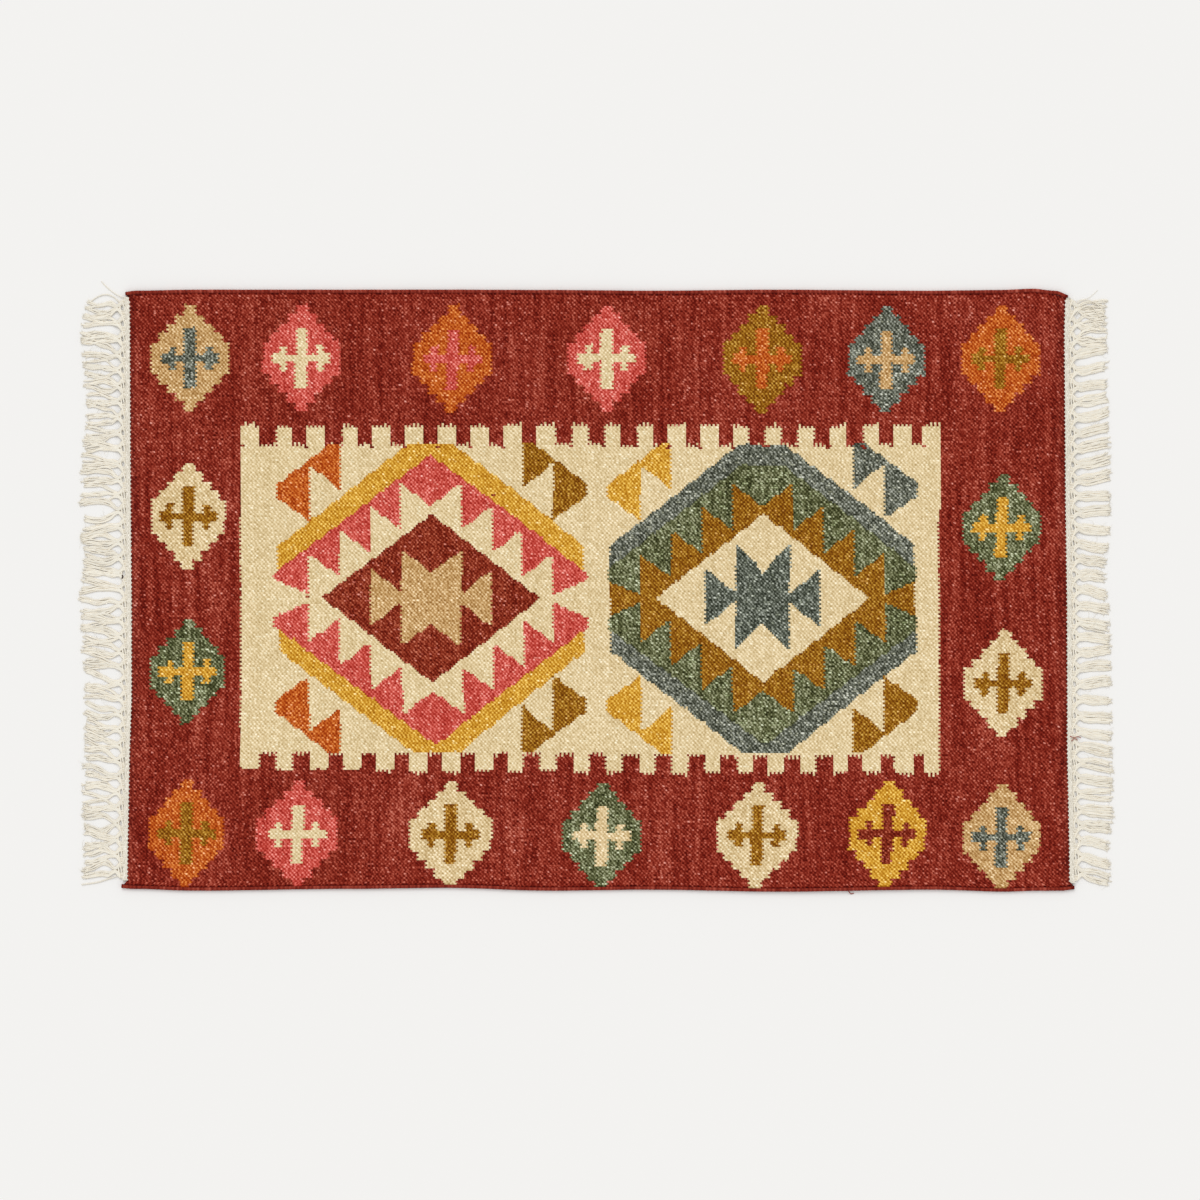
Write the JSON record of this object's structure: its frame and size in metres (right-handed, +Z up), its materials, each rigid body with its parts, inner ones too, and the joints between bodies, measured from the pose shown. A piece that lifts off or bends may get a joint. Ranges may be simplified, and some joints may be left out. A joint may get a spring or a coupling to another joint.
{
  "type": "kilim rug",
  "caption": "Flat-woven wool rug lying flat, with a patterned border and field, corded selvedges, cream headings, a twined row and a cotton warp fringe at each end.",
  "frame": {"origin": "centre of the whole rug, fringes and all, on the floor it lies on", "axes": "+X along the rug's length, which is its warp, +Y across it, +Z up out of its face"},
  "size_m": [1.2038, 0.7017, 0.0048],
  "materials": {
    "wool_weave": "matt weft-faced wool plain weave in a dozen yarn colours, heathered, red ground",
    "cotton_weave": "matt cream cotton plain weave",
    "cotton_cord": "matt off-white plied cotton"
  },
  "bodies": {
    "root": {"rug_cloth": "wool_weave", "heading_left": "cotton_weave", "heading_right": "cotton_weave", "twine_left": "cotton_cord", "twine_right": "cotton_cord", "fringe_left": "cotton_cord", "fringe_right": "cotton_cord"}
  },
  "joints": []
}
